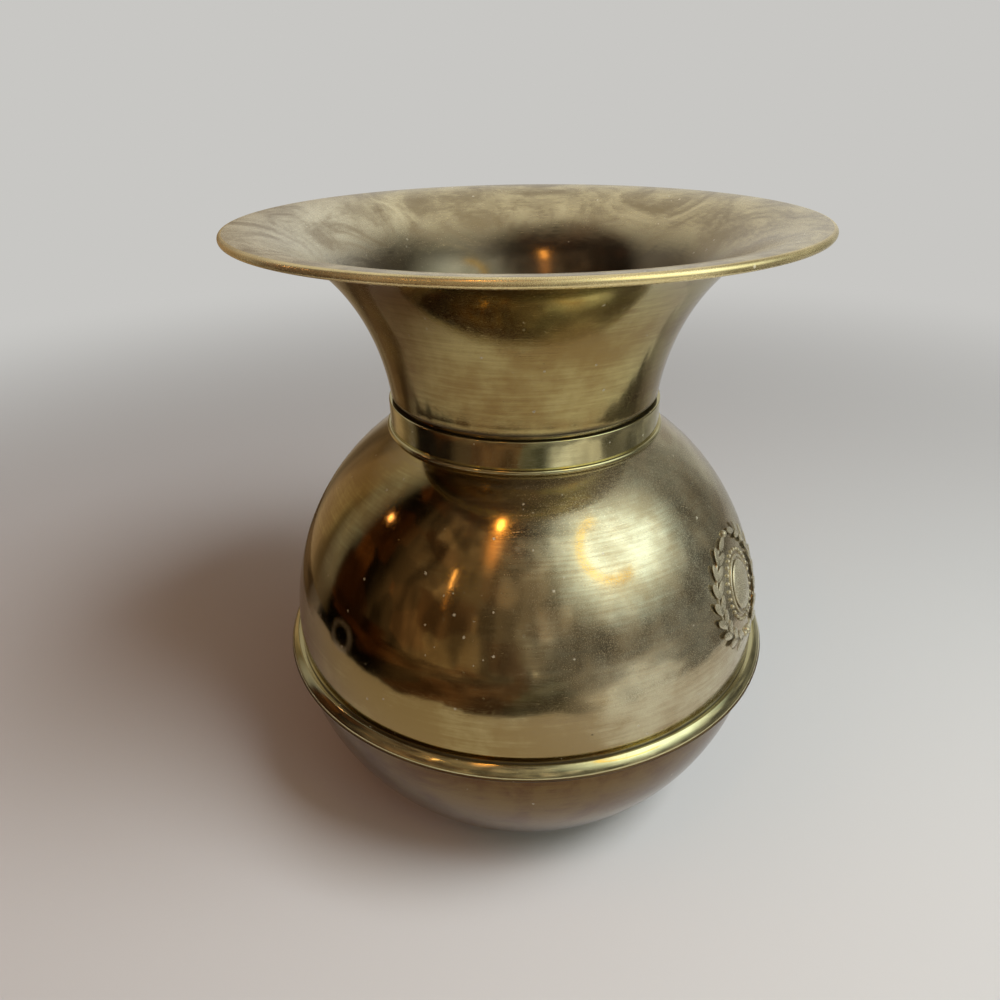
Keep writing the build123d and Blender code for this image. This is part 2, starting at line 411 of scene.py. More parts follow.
# %% Join the wreath and tie it to the bowl
RELIEF_ANGLE = math.radians(35)
bpy.ops.object.select_all(action="DESELECT")
for pattern in (leaf, pearl):
    pattern.select_set(True)
bpy.ops.object.delete()
for part in wreath_parts:
    part.select_set(True)
bpy.context.view_layer.objects.active = boss
bpy.ops.object.join()
wreath = bpy.context.object
wreath.name = wreath.data.name = "wreath_relief"
bpy.ops.object.transform_apply(location=True, rotation=True, scale=True)
bpy.ops.object.shade_smooth_by_angle(angle=RELIEF_ANGLE)
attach(wreath, "bowl")
print("wreath of", len(wreath_parts), "parts,", len(wreath.data.polygons), "faces")

# %% [markdown]
# ## Which piece stands for which
# Each spun piece replaces the imported one of its kind and moves with the same body.

# %% Tie the pieces to the frame
for piece, node_name, body, slot in (
    (mouth_funnel, "mouth_funnel", "funnel", "funnel_brass"),
    (neck_collar, "neck_collar", "bowl", "trim_brass"),
    (upper_bowl, "upper_bowl", "bowl", "bowl_brass"),
    (belly_hoop, "belly_hoop", "bowl", "trim_brass"),
    (lower_bowl, "lower_bowl", "bowl", "base_brass"),
):
    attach(piece, body)
    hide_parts(node_name)

# %% [markdown]
# ## Aged brass
# Yellow brass that was polished for years and then left: a straw-gold mirror under a haze of fine
# scratches, brown and grey-green tarnish in soft patches, pale specks where drops dried and rings left by
# the lathe. A metal keeps its default IOR. All that differs between the pieces is how much of each they
# have, so one recipe takes values.

# %% Colour and node helpers


def linear(hex_colour):
    """An sRGB hex value as the linear colour that shaders take."""
    parts = [int(hex_colour[i : i + 2], 16) / 255 for i in (1, 3, 5)]
    return (*(p / 12.92 if p <= 0.04045 else ((p + 0.055) / 1.055) ** 2.4 for p in parts), 1.0)


def per_mm(size):
    """The texture scale whose pattern repeats about every so many mm."""
    return 1 / (size * MM)


def new_material(name):
    """A new material, its node tree and its shader."""
    material = bpy.data.materials.new(name)
    material.use_nodes = True
    return material, material.node_tree, material.node_tree.nodes["Principled BSDF"]


def add(tree, kind, inputs=None, out=0, **settings):
    """Adds one shader node and returns an output. Each input gets a value, or a link to a given socket."""
    made = tree.nodes.new("ShaderNode" + kind)
    for key, value in settings.items():
        setattr(made, key, value)
    for key, value in (inputs or {}).items():
        if isinstance(value, bpy.types.NodeSocket):
            tree.links.new(value, made.inputs[key])
        else:
            made.inputs[key].default_value = value
    return made.outputs[out]


# %% The brass recipe
# The second colour also paints shade into the dirty lines, and the third is partly a painted pale sheen where
# the metal was rubbed
FILM, GRIME_AND_SHADE, RUBBED_SHEEN = "#CFCAB8", "#2A2014", "#D8D2B8"
# Sizes and depths of the marks in mm
WIPE_WIDTH, HAZE_GRAIN, LATHE_RING, SPECK_CELL, DENT = 1.5, 0.3, 0.7, 3.6, 24
DENT_DEPTH, SCRATCH_DEPTH = 0.1, 0.003
# The two ways that scratches run, each with their width in mm
SCRATCHES = (((0.4, 0.3, 0.5), 0.5), ((-0.5, 0.9, -0.6), 0.45))


def far_from(tree, value, target):
    """How far a value lies from a number, either way."""
    off = add(tree, "Math", {0: value, 1: target}, operation="SUBTRACT")
    return add(tree, "Math", {0: off}, operation="ABSOLUTE")


def aged_brass(
    name, clean, tarnished, polish, haze, tarnish_share, film_share, lean, ring_depth,
    grime_and_shade=(), rubbed=None, wiping=0.06, washed=0.0, residue=None, deep_shade=None, patch=35, swirl=0.0, drops=(),
):
    """Spun brass.

    polish is its roughness where clean, and haze is what rubbing adds to that.
    lean says how the outline runs outwards as it rises, and ring_depth how deep the lathe's rings are in mm.
    grime lists (height, reach) in mm of dirty lines, which are also painted darker as shade in grooves and at
    the foot.
    rubbed is (middle, reach) in mm of the place that was rubbed most, where a pale sheen is also painted into
    the colour, and the tarnish that is added round it.
    wiping draws the wiping marks out, and washed is the film that lies everywhere.
    residue gives the heights in mm between which smears of old polish set in.
    deep gives the heights in mm between which a dark colour takes over, and that colour: painted shade down
    in the funnel's throat.
    patch is the size of a patch of tarnish in mm, and swirl bends the patches.
    drops lists (middle, radius, line width) in mm of rings where wet drops stood.
    """
    material, tree, brass = new_material(name)
    place = add(tree, "TexCoord", out="Object")

    # The way along the outline is the height plus or minus the distance from the axis
    flat = add(tree, "VectorMath", {0: place, 1: (1, 1, 0)}, operation="MULTIPLY")
    reach = add(tree, "VectorMath", {0: flat}, out="Value", operation="LENGTH")
    height = add(tree, "SeparateXYZ", {0: place}, out="Z")
    along = add(tree, "Math", {0: reach, 1: lean, 2: height}, operation="MULTIPLY_ADD")

    # Wiping marks run round the axis: about 25 mm long and 1.5 mm wide
    upright = add(tree, "CombineXYZ", {"Z": along})
    around = add(tree, "VectorMath", {0: flat, 1: (wiping, wiping, 0), 2: upright}, operation="MULTIPLY_ADD")
    wiped = add(
        tree, "TexNoise", {"Vector": around, "Scale": per_mm(WIPE_WIDTH), "Detail": 3, "Roughness": 0.6}
    )

    # Rubbing leaves a haze of dull points between bright ones, drawn coarser than the real ones
    grain = add(tree, "TexNoise", {"Vector": place, "Scale": per_mm(HAZE_GRAIN), "Detail": 2})
    hazed = add(tree, "MapRange", {"Value": grain, "From Min": 0.4, "From Max": 0.7})

    # Tarnish lies in soft patches, drawn out by wiping, and there is less of it where the metal was rubbed
    patches = add(
        tree,
        "TexNoise",
        {"Vector": place, "Scale": per_mm(patch), "Detail": 5, "Roughness": 0.62, "Distortion": swirl},
    )
    smeared = add(tree, "Math", {0: wiped, 1: 0.35, 2: patches}, operation="MULTIPLY_ADD")
    coverage = smeared
    if rubbed:
        middle, spread, left_elsewhere = rubbed
        from_middle = add(
            tree, "VectorMath", {0: place, 1: Vector(middle) * MM}, out="Value", operation="DISTANCE"
        )
        worn_and_sheen_here = add(
            tree,
            "MapRange",
            {
                "Value": from_middle,
                "From Min": spread * MM,
                "From Max": 0.35 * spread * MM,
                "To Min": 0.06,
            },
            interpolation_type="SMOOTHSTEP",
        )
        hazed = add(tree, "Math", {0: hazed, 1: worn_and_sheen_here}, operation="MULTIPLY")
        unrubbed = add(tree, "MapRange", {"Value": worn_and_sheen_here, "To Min": left_elsewhere, "To Max": 0.0})
        coverage = add(tree, "Math", {0: smeared, 1: unrubbed})
    tarnish = add(
        tree,
        "MapRange",
        {"Value": coverage, "From Min": 0.52, "From Max": 0.86, "To Max": tarnish_share},
        interpolation_type="SMOOTHSTEP",
    )

    # Rings left by the lathe: a real one has finer rings than a picture can show
    rings = add(
        tree, "TexNoise", {"W": along, "Scale": per_mm(LATHE_RING), "Detail": 2}, noise_dimensions="1D"
    )

    # Scratches are short lines of drawn-out noise that cross each other
    lines = []
    for turn, width in SCRATCHES:
        drawn = add(tree, "Mapping", {"Vector": place, "Rotation": turn, "Scale": (0.03, 1, 1)})
        streaks = add(tree, "TexNoise", {"Vector": drawn, "Scale": per_mm(width), "Detail": 2})
        lines.append(add(tree, "MapRange", {"Value": streaks, "From Min": 0.62, "From Max": 0.74}))
    scratches = add(tree, "Math", {0: lines[0], 1: lines[1]}, operation="MAXIMUM")

    # Specks under 1 mm across in about a fifth of the cells: pale where drops dried, brown where they bit
    cells = add(tree, "TexVoronoi", {"Vector": place, "Scale": per_mm(SPECK_CELL)}).node.outputs
    chosen = add(tree, "SeparateColor", {0: cells["Color"]}).node.outputs
    size = add(tree, "MapRange", {"Value": chosen[0], "From Min": 0.6, "From Max": 1.0, "To Max": 0.36})
    ragged = add(tree, "Math", {0: grain, 1: 0.4, 2: cells["Distance"]}, operation="MULTIPLY_ADD")
    speck = add(tree, "Math", {0: ragged, 1: size}, operation="LESS_THAN")
    pale = add(tree, "Math", {0: chosen[1], 1: 0.25}, operation="GREATER_THAN")
    dried = add(tree, "Math", {0: speck, 1: pale}, operation="MULTIPLY")
    bitten = add(tree, "Math", {0: speck, 1: dried}, operation="SUBTRACT")

    # A thin film of dried polish and dust in the dull points, rings and specks
    caught = add(tree, "Math", {0: hazed, 1: wiped}, operation="MULTIPLY")
    between_patches = add(tree, "Math", {0: 1.0, 1: patches}, operation="SUBTRACT")
    film = add(tree, "Math", {0: between_patches, 1: 2 * washed}, operation="MULTIPLY")
    for share, thickness in ((caught, film_share), (dried, 0.5)):
        film = add(tree, "Math", {0: share, 1: thickness, 2: film}, operation="MULTIPLY_ADD")

    if residue:
        low, top = residue
        near_top = add(tree, "MapRange", {"Value": height, "From Min": low * MM, "From Max": top * MM})
        smears = add(
            tree, "MapRange", {"Value": smeared, "From Min": 0.62, "From Max": 0.85, "To Max": 0.2}
        )
        film = add(tree, "Math", {0: near_top, 1: smears, 2: film}, operation="MULTIPLY_ADD")

    # A drop that dried leaves a ring of film, broken where the wiping went over it
    for middle, radius, line in drops:
        from_drop = add(
            tree, "VectorMath", {0: place, 1: Vector(middle) * MM}, out="Value", operation="DISTANCE"
        )
        away = far_from(tree, from_drop, radius * MM)
        ragged = add(tree, "Math", {0: smeared, 1: 2 * line * MM, 2: away}, operation="MULTIPLY_ADD")
        ring = add(
            tree,
            "MapRange",
            {
                "Value": ragged,
                "From Min": 2.1 * line * MM,
                "From Max": 1.4 * line * MM,
                "To Max": 0.1 + 0.03 * line,
            },
        )
        film = add(tree, "Math", {0: film, 1: ring}, operation="MAXIMUM")
    film = add(tree, "Clamp", {0: film})

    # Grime stays in the lines that a cloth can't reach, and these lines are also painted darker as shade in
    # the grooves between parts and at the foot
    dirt_and_shade = add(tree, "Math", {0: bitten, 1: 0.5}, operation="MULTIPLY")
    for line, spread in grime_and_shade:
        away = far_from(tree, height, line * MM)
        ragged = add(tree, "Math", {0: wiped, 1: -0.8 * spread * MM, 2: away}, operation="MULTIPLY_ADD")
        near = add(
            tree,
            "MapRange",
            {"Value": ragged, "From Min": 0.5 * spread * MM, "From Max": -0.2 * spread * MM, "To Max": 0.9},
        )
        dirt_and_shade = add(tree, "Math", {0: dirt_and_shade, 1: near}, operation="MAXIMUM")

    # Colour: clean, then the rubbed place, partly a painted pale sheen, then tarnish, painted shade down in
    # the throat, and film and the dirty lines over it, which are partly painted shade
    covers = [(tarnished, tarnish)]
    # The rubbed place is painted paler: partly rubbed metal, partly a painted sheen of the light on its haze
    if rubbed:
        bright = add(tree, "Math", {0: worn_and_sheen_here, 1: 0.7}, operation="MULTIPLY")
        covers.insert(0, (RUBBED_SHEEN, bright))
    # Painted shade: the colour darkens downwards into the funnel's throat
    if deep_shade:
        top, foot, dark = deep_shade
        blurred = add(tree, "Math", {0: smeared, 1: 20 * MM, 2: height}, operation="MULTIPLY_ADD")
        in_deep_shade = add(
            tree,
            "MapRange",
            {"Value": blurred, "From Min": (top + 14) * MM, "From Max": (foot + 14) * MM},
            interpolation_type="SMOOTHSTEP",
        )
        covers.append((dark, in_deep_shade))
        shallow = add(tree, "MapRange", {"Value": in_deep_shade, "To Min": 1.0, "To Max": 0.25})
        film = add(tree, "Math", {0: film, 1: shallow}, operation="MULTIPLY")
    covers += [(FILM, film), (GRIME_AND_SHADE, dirt_and_shade)]
    colour = linear(clean)
    for cover, share in covers:
        colour = add(tree, "Mix", {0: share, 6: colour, 7: linear(cover)}, out=2, data_type="RGBA")
    tree.links.new(colour, brass.inputs["Base Color"])
    covered = add(tree, "Math", {0: film, 1: dirt_and_shade}, operation="MAXIMUM")
    bare = add(tree, "Math", {0: 1.0, 1: covered}, operation="SUBTRACT")
    tree.links.new(bare, brass.inputs["Metallic"])

    # Roughness: polish, dulled by rubbing, tarnish, scratches, film and grime
    rough = add(tree, "Math", {0: hazed, 1: haze, 2: polish}, operation="MULTIPLY_ADD")
    for share, dulls in ((tarnish, 0.03), (scratches, 0.1), (wiped, 0.04), (film, 0.3), (dirt_and_shade, 0.4)):
        rough = add(tree, "Math", {0: share, 1: dulls, 2: rough}, operation="MULTIPLY_ADD")
    tree.links.new(rough, brass.inputs["Roughness"])

    # Bump: sheet that was pressed by hand is slightly uneven, then come the rings and the scratches
    uneven = add(tree, "TexNoise", {"Vector": place, "Scale": per_mm(DENT), "Detail": 1})
    normal = None
    for shape, depth in ((uneven, DENT_DEPTH), (rings, ring_depth), (scratches, -SCRATCH_DEPTH)):
        bump = {"Height": shape, "Distance": abs(depth) * MM}
        if normal:
            bump["Normal"] = normal
        normal = add(tree, "Bump", bump, invert=depth < 0)
    tree.links.new(normal, brass.inputs["Normal"])
    return material


# %% [markdown]
# ## Seven brass finishes
# The bowl is a mirror on its left and rubbed to a haze at the front right, with rings where drops dried, and
# the rubbed place is painted paler, partly as a sheen of light. The funnel is wiped all round. The trim stays
# bright because cloths rub it, and the rim is softer because hands do. The lower bowl is duller and browner,
# and darker still as painted shade. The funnel's inside is washed pale at the flare, and its throat is dark
# with painted shade. Polish has dried in the wreath.

# %% Place the drops that dried on the dome
DOME_DROPS = (
    # azimuth from the front and height angle on the dome, then radius and line width in mm
    (-44.3, 15.2, 5.6, 3.4),
    (8.4, 44.0, 5.9, 0.5),
    (34.2, 29.6, 1.9, 0.6),
    (-1.8, 41.9, 0.4, 1.4),
    (1.0, 26.9, 0.8, 1.2),
    (-17.7, 27.0, 0.2, 0.9),
    (22.8, 16.6, 0.2, 0.9),
    (-5.2, 35.8, 0.2, 0.9),
    (150.0, 30.0, 5.0, 0.8),
    (-130.0, 20.0, 7.0, 1.2),
)
wet_drops = []
for azimuth, rise, radius, line in DOME_DROPS:
    turned = Matrix.Rotation(math.radians(azimuth), 3, "Z") @ Matrix.Rotation(-math.radians(rise), 3, "X")
    wet_drops.append((turned @ Vector((0, -DOME_RADIUS, 0)) + Vector((0, 0, BELLY[1])), radius, line))
print("drops on the dome:", len(wet_drops))

# %% Make the brass finishes
bowl_brass = aged_brass(
    "bowl_brass_polished", "#BCAC74", "#866632",
    polish=0.04, haze=0.24, tarnish_share=0.66, film_share=0.36, lean=-1, ring_depth=0.001,
    # The lines at 86.6 and 184.5 mm are dirty and painted darker as shade, in the groove above the hoop and
    # under the collar's bead
    grime_and_shade=((86.6, 1.6), (184.5, 2.5)), rubbed=((70, -68, 148), 118, 0.18), residue=(166, 190),
    drops=wet_drops,
)
wreath_brass = aged_brass(
    "wreath_brass_struck", "#CBC09C", "#7A6A4A",
    polish=0.14, haze=0.1, tarnish_share=0.6, film_share=0.4, lean=-1, ring_depth=0.0, washed=0.22,
)
funnel_brass = aged_brass(
    "funnel_brass_spun", "#B5A66E", "#84642F",
    polish=0.04, haze=0.14, tarnish_share=0.75, film_share=0.16, lean=1, ring_depth=0.002,
    # A dirty line, painted darker as shade, under the shoulder where it rests over the neck
    grime_and_shade=((197.6, 2.2),),
)
inside_brass = aged_brass(
    "inside_brass_washed", "#D2C080", "#7A6030",
    polish=0.09, haze=0.14, tarnish_share=0.8, film_share=0.2, lean=1, ring_depth=0.001,
    # The rubbed place at the left is partly a painted pale sheen, and the throat is darkened with painted
    # shade
    rubbed=((-98, -15, 266), 120, 0.04), wiping=0.3, washed=0.3, deep_shade=(257, 241, "#5A4C35"),
    patch=30, swirl=1.4,
)
trim_brass = aged_brass(
    "trim_brass_rubbed", "#D2CA9A", "#927C4A",
    polish=0.035, haze=0.1, tarnish_share=0.4, film_share=0.12, lean=1, ring_depth=0.001,
)
rim_brass = aged_brass(
    "rim_brass_handled", "#F2DC98", "#A0864C",
    polish=0.15, haze=0.05, tarnish_share=0.4, film_share=0.06, lean=1, ring_depth=0.001, washed=0.18,
)
# The lower bowl is duller and browner, and its colours are darker still as painted shade under the belly; its
# dirty lines are painted darker as shade under the lip and at the foot
base_brass = aged_brass(
    "base_brass_dull_shaded", "#745C32", "#5A3A1C",
    polish=0.06, haze=0.18, tarnish_share=0.95, film_share=0.06, lean=1, ring_depth=0.002,
    grime_and_shade=((82.2, 2.0), (0.0, 6.0)), patch=26, swirl=0.6,
)

# %% Give each piece its brass
for piece, material in (
    (mouth_funnel, funnel_brass),
    (neck_collar, trim_brass),
    (upper_bowl, bowl_brass),
    (belly_hoop, trim_brass),
    (lower_bowl, base_brass),
    (wreath, wreath_brass),
):
    piece.data.materials.clear()
    piece.data.materials.append(material)
    print(piece.name, "is finished in", material.name)

# %% Give the funnel its inside and its bright rim
OUTSIDE, INSIDE, RIM = range(3)
rim_start = (FLARE_MIDDLE[0] - 0.1) * MM

mouth_funnel.data.materials.append(inside_brass)
mouth_funnel.data.materials.append(rim_brass)
for face in mouth_funnel.data.polygons:
    outwards = Vector((face.center.x, face.center.y, 0))
    if outwards.length > rim_start:
        face.material_index = RIM
    elif face.normal.z > 0 or face.normal.dot(outwards) < -0.5 * outwards.length:
        face.material_index = INSIDE
for part, index in (("outside", OUTSIDE), ("inside", INSIDE), ("rim", RIM)):
    print(part, "faces:", sum(face.material_index == index for face in mouth_funnel.data.polygons))

# %% [markdown]
# ## Wire and solder
# The wire inside the rim and the two solder rings are right as packed, so they only get a finish. Drawn
# iron wire is a dark, mottled grey. Soft solder sets to a paler grey, dull and lumpy.

# %% Finish the wire and the solder


def dull_metal(name, light, dark, blotch_mm, roughness):
    """Grey metal with lumps and blotches of two tones, so many mm across."""
    material, tree, metal = new_material(name)
    metal.inputs["Metallic"].default_value = 1.0
    place = add(tree, "TexCoord", out="Object")
    blotches = add(tree, "TexNoise", {"Vector": place, "Scale": per_mm(blotch_mm), "Detail": 4})
    mixed = add(tree, "Mix", {0: blotches, 6: linear(light), 7: linear(dark)}, out=2, data_type="RGBA")
    rough = add(
        tree, "MapRange", {"Value": blotches, "To Min": roughness - 0.12, "To Max": roughness + 0.12}
    )
    lumps = add(tree, "Bump", {"Height": blotches, "Distance": 0.1 * MM, "Strength": 0.5})
    tree.links.new(mixed, metal.inputs["Base Color"])
    tree.links.new(rough, metal.inputs["Roughness"])
    tree.links.new(lumps, metal.inputs["Normal"])
    return material


drawn_iron = dull_metal("drawn_iron_wire", "#8C8A86", "#5E5852", 1.2, 0.45)
soft_solder = dull_metal("soft_solder_grey", "#A9A8A2", "#7E7C76", 3.0, 0.5)
for node_name, material in (
    ("rim_wire", drawn_iron),
    ("collar_solder", soft_solder),
    ("seam_solder", soft_solder),
):
    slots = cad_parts[node_name].data.materials
    slots.clear()
    slots.append(material)
    print(node_name, "is finished in", material.name)

# %% [markdown]
# ## Floor and surroundings
# A pale floor fades into surroundings of the same tone, so no horizon shows from any side. Near the
# spittoon the floor is plain matt paper that takes its shadow. Further out it glows like the world round
# it. The world lights the floor less than it shows, so that the shadow stays deep.

# %% Set the surroundings
SURROUND, LIGHT_FROM_SURROUND = "#C8C7C4", 0.14

world = bpy.data.worlds.new("studio_surround")
bpy.context.scene.world = world
world.use_nodes = True
background = world.node_tree.nodes["Background"]
background.inputs["Color"].default_value = linear(SURROUND)
ray = add(world.node_tree, "LightPath").node.outputs
seen = add(world.node_tree, "Math", {0: ray["Is Camera Ray"], 1: ray["Is Glossy Ray"]}, operation="MAXIMUM")
dimmed = add(world.node_tree, "MapRange", {"Value": seen, "To Min": LIGHT_FROM_SURROUND})
world.node_tree.links.new(dimmed, background.inputs["Strength"])
print("surroundings:", SURROUND)

# %% Lay the floor
PAPER, FLOOR_RADIUS, FLOOR_DROP, FADE_START, FADE_END = "#CCCCCB", 6.0, 0.2 * MM, 0.3, 1.2

bpy.ops.object.select_all(action="DESELECT")
bpy.ops.mesh.primitive_circle_add(
    vertices=96, radius=FLOOR_RADIUS, fill_type="NGON", location=(0, 0, -FLOOR_DROP)
)
floor = bpy.context.object
floor.name = "studio_floor"
paper, tree, sheet = new_material("floor_paper")
sheet.inputs["Base Color"].default_value = linear(PAPER)
sheet.inputs["Roughness"].default_value = 0.9
sheet.inputs["Specular IOR Level"].default_value = 0.1
glow = add(tree, "Emission", {"Color": linear(SURROUND), "Strength": 1.0})
place = add(tree, "TexCoord", out="Object")
distance = add(tree, "VectorMath", {0: place}, out="Value", operation="LENGTH")
fade = add(
    tree,
    "MapRange",
    {"Value": distance, "From Min": FADE_START, "From Max": FADE_END},
    interpolation_type="SMOOTHSTEP",
)
blend = add(tree, "MixShader", {0: fade, 1: sheet.outputs[0], 2: glow})
tree.links.new(blend, tree.nodes["Material Output"].inputs["Surface"])
floor.data.materials.append(paper)
print("the floor is", 2 * FLOOR_RADIUS, "m across")

# %% [markdown]
# ## Cloths
# Polished brass shows what stands round it, so the light is built like a photographer's. Dark cloths hang
# round and over the front and lie on the floor there, which gives the metal its dark tones. The carpet's pale
# stretch towards the soft box is a painted pool of light. A brown screen at the back left and a darker strip
# on the floor at its foot are painted shadow, standing where a shaded wall and floor would be. The camera
# sees them only as reflections. A cloth glows with the little light that it would give back, so that its
# tone doesn't depend on the lamps, and it thins out at its edges.

# %% List the cloths
CLOTHS = (
    # name, (radius, height) of its two edges in m, share of its width that thins out towards the second edge,
    # and its tones as (azimuth from the front, colour)
    (
        "cloth_front",
        ((1.2, 0.0), (1.2, 2.0)),
        0.0,
        (
            (-112, "#140F0B"), (-94, "#140F0B"), (-78, "#1E1610"), (-55, "#98806A"),
            (-25, "#B59E80"), (0, "#BBB0A0"), (25, "#BAB7AF"), (60, "#B4B2AC"),
            (82, "#B0AEA8"), (104, "#8C8A82"), (125, "#8A8880"), (150, "#8A8880"),
        ),
    ),
    (
        "canopy_front",
        ((1.25, 1.9), (0.1, 2.4)),
        0.25,
        (
            (-112, "#1E1610"), (-94, "#1E1610"), (-40, "#3A2C20"),
            (0, "#483C30"), (20, "#7C7A72"), (48, "#A3A19C"),
        ),
    ),
    (
        # The pale stretch towards the soft box is a painted pool of light on this carpet
        "carpet_front_and_pool_of_light",
        ((0.32, 0.001), (1.2, 0.001)),
        0.0,
        (
            (-112, "#080604"), (-96, "#080604"), (-64, "#120D09"), (-48, "#78624C"),
            (-30, "#947A62"), (0, "#74705F"), (14, "#7E7D70"), (24, "#D6D4CE"),
            (55, "#DAD8D2"), (72, "#A09D96"), (110, "#928F89"), (150, "#928F89"),
        ),
    ),
    (
        # Painted shadow: a brown screen where a shaded wall would stand at the back left
        "screen_painted_wall_shadow",
        ((0.46, 0.0), (0.46, 0.6)),
        0.5,
        ((-165, "#8E7A5C"), (-145, "#8E7A5C"), (-130, "#A88F6E"), (-108, "#A08A68"), (-92, "#A08A68")),
    ),
    (
        # Painted shadow on the floor at the foot of that screen
        "screen_foot",
        ((0.3, 0.001), (0.46, 0.001)),
        0.0,
        ((-165, "#6E573C"), (-155, "#6E573C"), (-112, "#6E573C"), (-100, "#6E573C")),
    ),
    (
        "flag_left",
        ((0.9, 0.0), (0.9, 0.34)),
        0.2,
        ((-99, "#060504"), (-96, "#060504"), (-84, "#090706"), (-80, "#090706")),
    ),
    (
        "flag_front",
        ((0.9, 0.0), (0.9, 0.10)),
        0.2,
        ((-78, "#090706"), (-74, "#090706"), (-64, "#0E0B08"), (-60, "#0E0B08")),
    ),
)
print("cloths:", len(CLOTHS))

# %% Helper that hangs a cloth
CLOTH_STEPS = 48


def hang_cloth(name, edges, start_angle, end_angle):
    """Hangs a cloth round the upright axis between two edges, from one azimuth to another."""
    start = Matrix.Rotation(math.radians(start_angle), 3, "Z")
    first, last = (start @ Vector((0, -radius, height)) for radius, height in edges)
    cloth = start_outline(name, first)
    bpy.ops.mesh.extrude_region_move(TRANSFORM_OT_translate={"value": last - first})
    bpy.ops.mesh.select_all(action="SELECT")
    sweep = math.radians(start_angle - end_angle)
    bpy.ops.mesh.spin(steps=CLOTH_STEPS, angle=sweep, center=(0, 0, 0), axis=(0, 0, 1))
    bpy.ops.object.mode_set(mode="OBJECT")
    cloth.visible_camera = cloth.visible_shadow = False
    cloth.visible_diffuse = name.startswith("cloth")
    return cloth


# %% Helper that dyes a cloth
# The darkest and the lightest panel of a cloth, and how much of the warm colour a panel takes
PIECED, PLAIN = (0.45, 1.35, 0.55), (0.9, 1.0, 0.0)
WARM_PANEL, WARM_UP_TO = "#70401C", 15
CREASE, PANEL = 150, 300


def dye_cloth(name, edges, thins_out, tones):
    """Cloth pieced from panels, with folds in it, whose tones run round the upright axis."""
    material, tree, shader = new_material(name)
    tree.nodes.remove(shader)
    place = add(tree, "TexCoord", out="Object")
    flat = add(tree, "VectorMath", {0: place, 1: (1, 1, 0)}, operation="MULTIPLY")
    spread = add(tree, "VectorMath", {0: flat}, out="Value", operation="LENGTH")

    # The tones, clear at both ends
    middle = (tones[0][0] + tones[-1][0]) / 2
    faced = add(tree, "Mapping", {"Vector": place, "Rotation": (0, 0, math.radians(90 - middle))})
    turn = add(tree, "TexGradient", {"Vector": faced}, out="Fac", gradient_type="RADIAL")
    tone = add(tree, "ValToRGB", {0: turn}).node
    while len(tone.color_ramp.elements) < len(tones):
        tone.color_ramp.elements.new(0.5)
    for stop, (azimuth, colour) in zip(tone.color_ramp.elements, tones):
        stop.position, stop.color = 0.5 + (azimuth - middle) / 360, linear(colour)
    tone.color_ramp.elements[0].alpha = tone.color_ramp.elements[-1].alpha = 0.0

    # Folds and panels
    hung = add(tree, "Mapping", {"Vector": place, "Scale": (1, 1, 0.3)})
    creases = add(tree, "TexNoise", {"Vector": hung, "Scale": per_mm(CREASE), "Detail": 3})
    folds = add(tree, "MapRange", {"Value": creases, "From Min": 0.4, "From Max": 0.58, "To Min": 0.4})
    panels = add(
        tree, "TexVoronoi", {"Vector": place, "Scale": per_mm(PANEL)}, out="Color", distance="CHEBYCHEV"
    )
    stuff = add(tree, "SeparateColor", {0: panels}).node.outputs
    # The screens are painted shadow, and are dyed nearly plain
    darkest, lightest, warmest = PLAIN if name.startswith("screen") else PIECED
    shade = add(tree, "MapRange", {"Value": stuff[0], "To Min": darkest, "To Max": lightest})
    depth = add(tree, "Math", {0: shade, 1: folds}, operation="MULTIPLY")

    # Some panels on the left are warmer
    leftwards = add(
        tree,
        "MapRange",
        {"Value": turn, "From Min": 0.5 + (WARM_UP_TO - middle) / 360, "From Max": 0.5 - middle / 360},
    )
    warm = add(tree, "MapRange", {"Value": stuff[1], "From Min": 0.6, "From Max": 0.9, "To Max": warmest})
    share = add(tree, "Math", {0: warm, 1: leftwards}, operation="MULTIPLY")
    pieced = add(tree, "Mix", {0: share, 6: tone.outputs[0], 7: linear(WARM_PANEL)}, out=2, data_type="RGBA")
    given_back = add(tree, "Emission", {"Color": pieced, "Strength": depth})

    # The edges: clear where the cloth thins out, and ragged where a carpet ends
    cover = tone.outputs["Alpha"]
    if thins_out:
        first, last = (Vector(edge) for edge in edges)
        run, climb = (last - first) / (last - first).length_squared
        begin = -first.x * run - first.y * climb
        up = add(tree, "SeparateXYZ", {0: place}, out="Z")
        climbed = add(tree, "Math", {0: up, 1: climb, 2: begin}, operation="MULTIPLY_ADD")
        crossed = add(tree, "Math", {0: spread, 1: run, 2: climbed}, operation="MULTIPLY_ADD")
        thin = add(tree, "MapRange", {"Value": crossed, "From Min": 1.0, "From Max": 1 - thins_out})
        cover = add(tree, "Math", {0: cover, 1: thin}, operation="MULTIPLY")
    if name.startswith("carpet"):
        ragged = add(tree, "Math", {0: creases, 1: -0.2, 2: spread}, operation="MULTIPLY_ADD")
        inside = edges[0][0] - 0.09
        ends = add(tree, "MapRange", {"Value": ragged, "From Min": inside, "From Max": inside + 0.01})
        cover = add(tree, "Math", {0: cover, 1: ends}, operation="MULTIPLY")
    gap = add(tree, "BsdfTransparent")
    woven = add(tree, "MixShader", {0: cover, 1: gap, 2: given_back})
    tree.links.new(woven, tree.nodes["Material Output"].inputs["Surface"])
    return material


# %% Hang the cloths
for name, edges, thins_out, tones in CLOTHS:
    cloth = hang_cloth(name, edges, tones[0][0], tones[-1][0])
    cloth.data.materials.append(dye_cloth(name, edges, thins_out, tones))
    print(name, "hangs from", tones[0][0], "to", tones[-1][0], "degrees")

